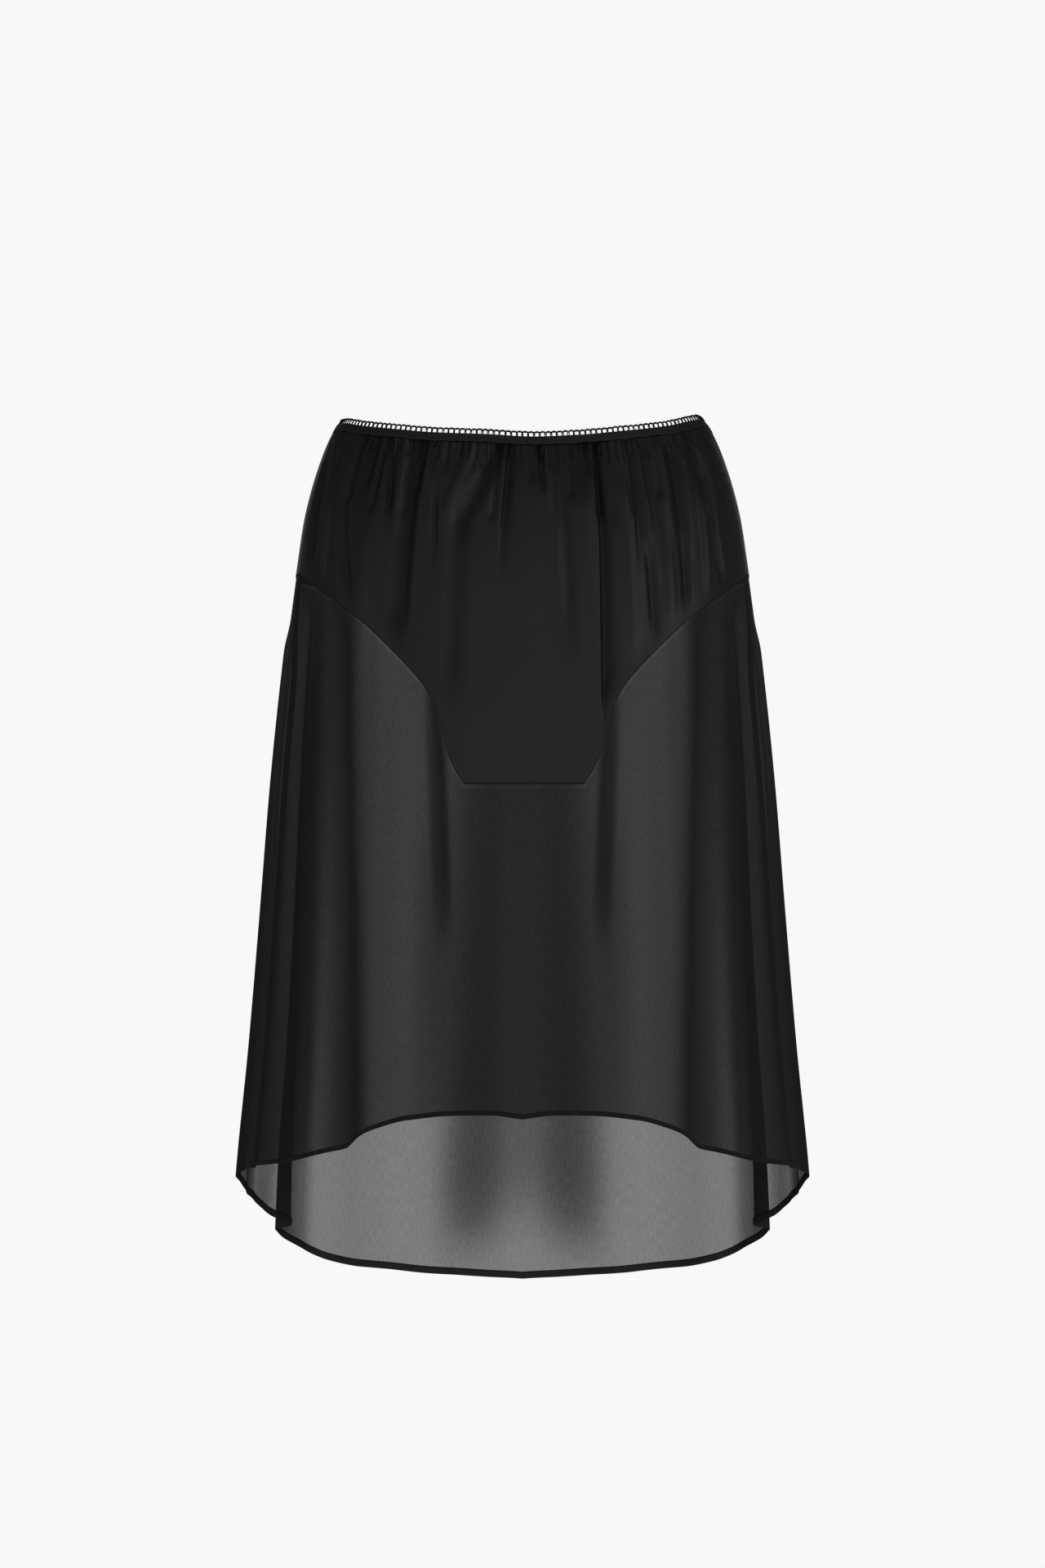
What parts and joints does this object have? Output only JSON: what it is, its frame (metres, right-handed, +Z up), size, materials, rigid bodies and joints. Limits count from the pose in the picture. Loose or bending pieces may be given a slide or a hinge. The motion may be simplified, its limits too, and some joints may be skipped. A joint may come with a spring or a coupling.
{
  "type": "skirt",
  "caption": "Black gathered high-low skirt: satin yoke with a flat front tab, semi-sheer lower panels, and a narrow picot-edged waist elastic.",
  "frame": {"origin": "middle of the waist opening, level with the highest part of its edge, where the wearer's waist holds it", "axes": "+Z up along the wearer, the front faces -Y, +X is the wearer's left"},
  "size_m": [0.4496, 0.3178, 0.6988],
  "materials": {
    "picot_cord": "fine twisted cord, matte",
    "elastic": "plush elastic, matte",
    "satin": "soft satin sheen",
    "sheer": "semi-sheer crepe georgette, matte"
  },
  "bodies": {
    "root": {"picot_trim": "picot_cord", "waist_elastic": "elastic", "front_yoke": "satin", "back_yoke": "satin", "front_panel": "sheer", "back_panel": "sheer"}
  },
  "joints": []
}
